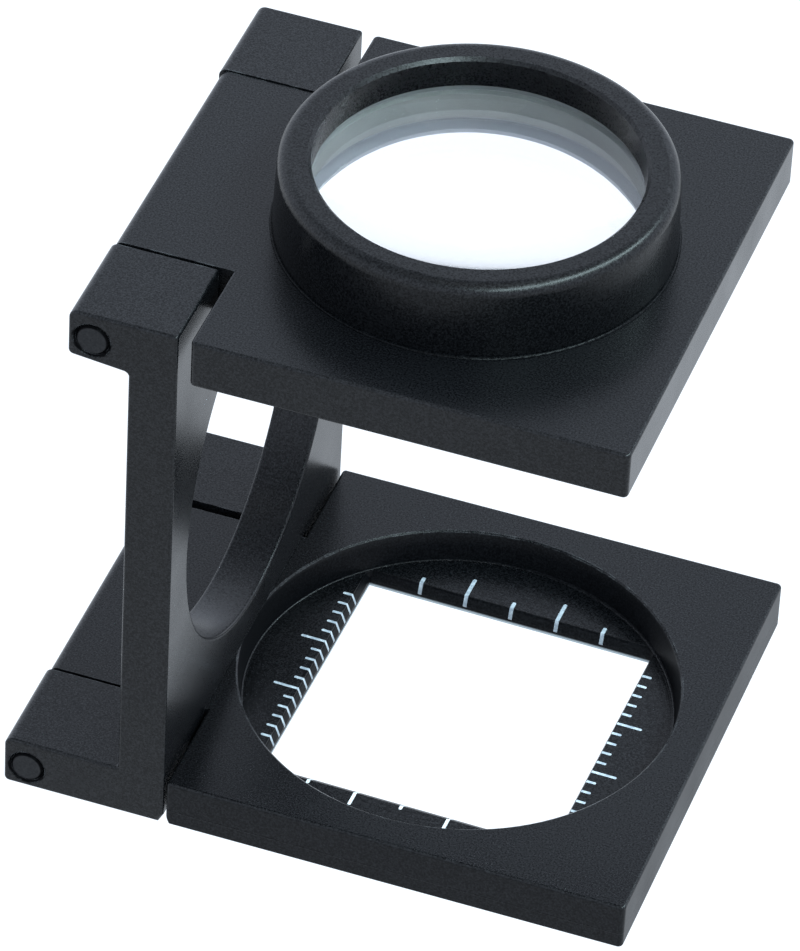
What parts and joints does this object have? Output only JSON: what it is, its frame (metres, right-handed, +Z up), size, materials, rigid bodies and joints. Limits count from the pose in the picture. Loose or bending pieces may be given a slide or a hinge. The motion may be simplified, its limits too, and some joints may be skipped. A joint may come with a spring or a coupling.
{
  "type": "viewing loupe",
  "caption": "Folding viewing loupe: a hinged base with a graduated square window, an upright with a round opening and a lens plate with a two-element magnifier.",
  "frame": {"origin": "centre of the footprint of the opened loupe's box, on the surface that it stands on", "axes": "+X from the hinges to the free ends of the plates, +Y to the left-hand side seen from the hinges, +Z up"},
  "size_m": [0.0418, 0.0334, 0.0453],
  "materials": {
    "black_plate": "matte",
    "black_barrel": "satin",
    "black_steel": "satin",
    "bright_aluminium": "satin",
    "white_enamel": "satin",
    "lens_glass": "polished"
  },
  "bodies": {
    "base": {"base_plate": "black_plate", "mm_scale_front": "white_enamel", "mm_scale_rear": "white_enamel", "inch_scale_left": "white_enamel", "inch_scale_right": "white_enamel"},
    "upright": {"upright": "black_plate", "lower_pin_right": "black_steel", "lower_pin_left": "black_steel", "upper_pin_right": "black_steel", "upper_pin_left": "black_steel"},
    "lens_plate": {"lens_plate": "black_plate", "lens_barrel": "black_barrel", "upper_lens": "lens_glass", "lower_lens": "lens_glass", "lens_spacer": "bright_aluminium", "lens_retaining_ring": "bright_aluminium"}
  },
  "joints": [
    {"name": "upright_hinge", "type": "hinge", "parent": "base", "child": "upright", "pos_m": [-0.01935, 0, 0.0016], "axis": [0, -1, 0], "range_deg": [0, 270]},
    {"name": "lens_plate_hinge", "type": "hinge", "parent": "upright", "child": "lens_plate", "pos_m": [-0.01555, 0, 0.03815], "axis": [0, -1, 0], "range_deg": [0, 270]}
  ]
}
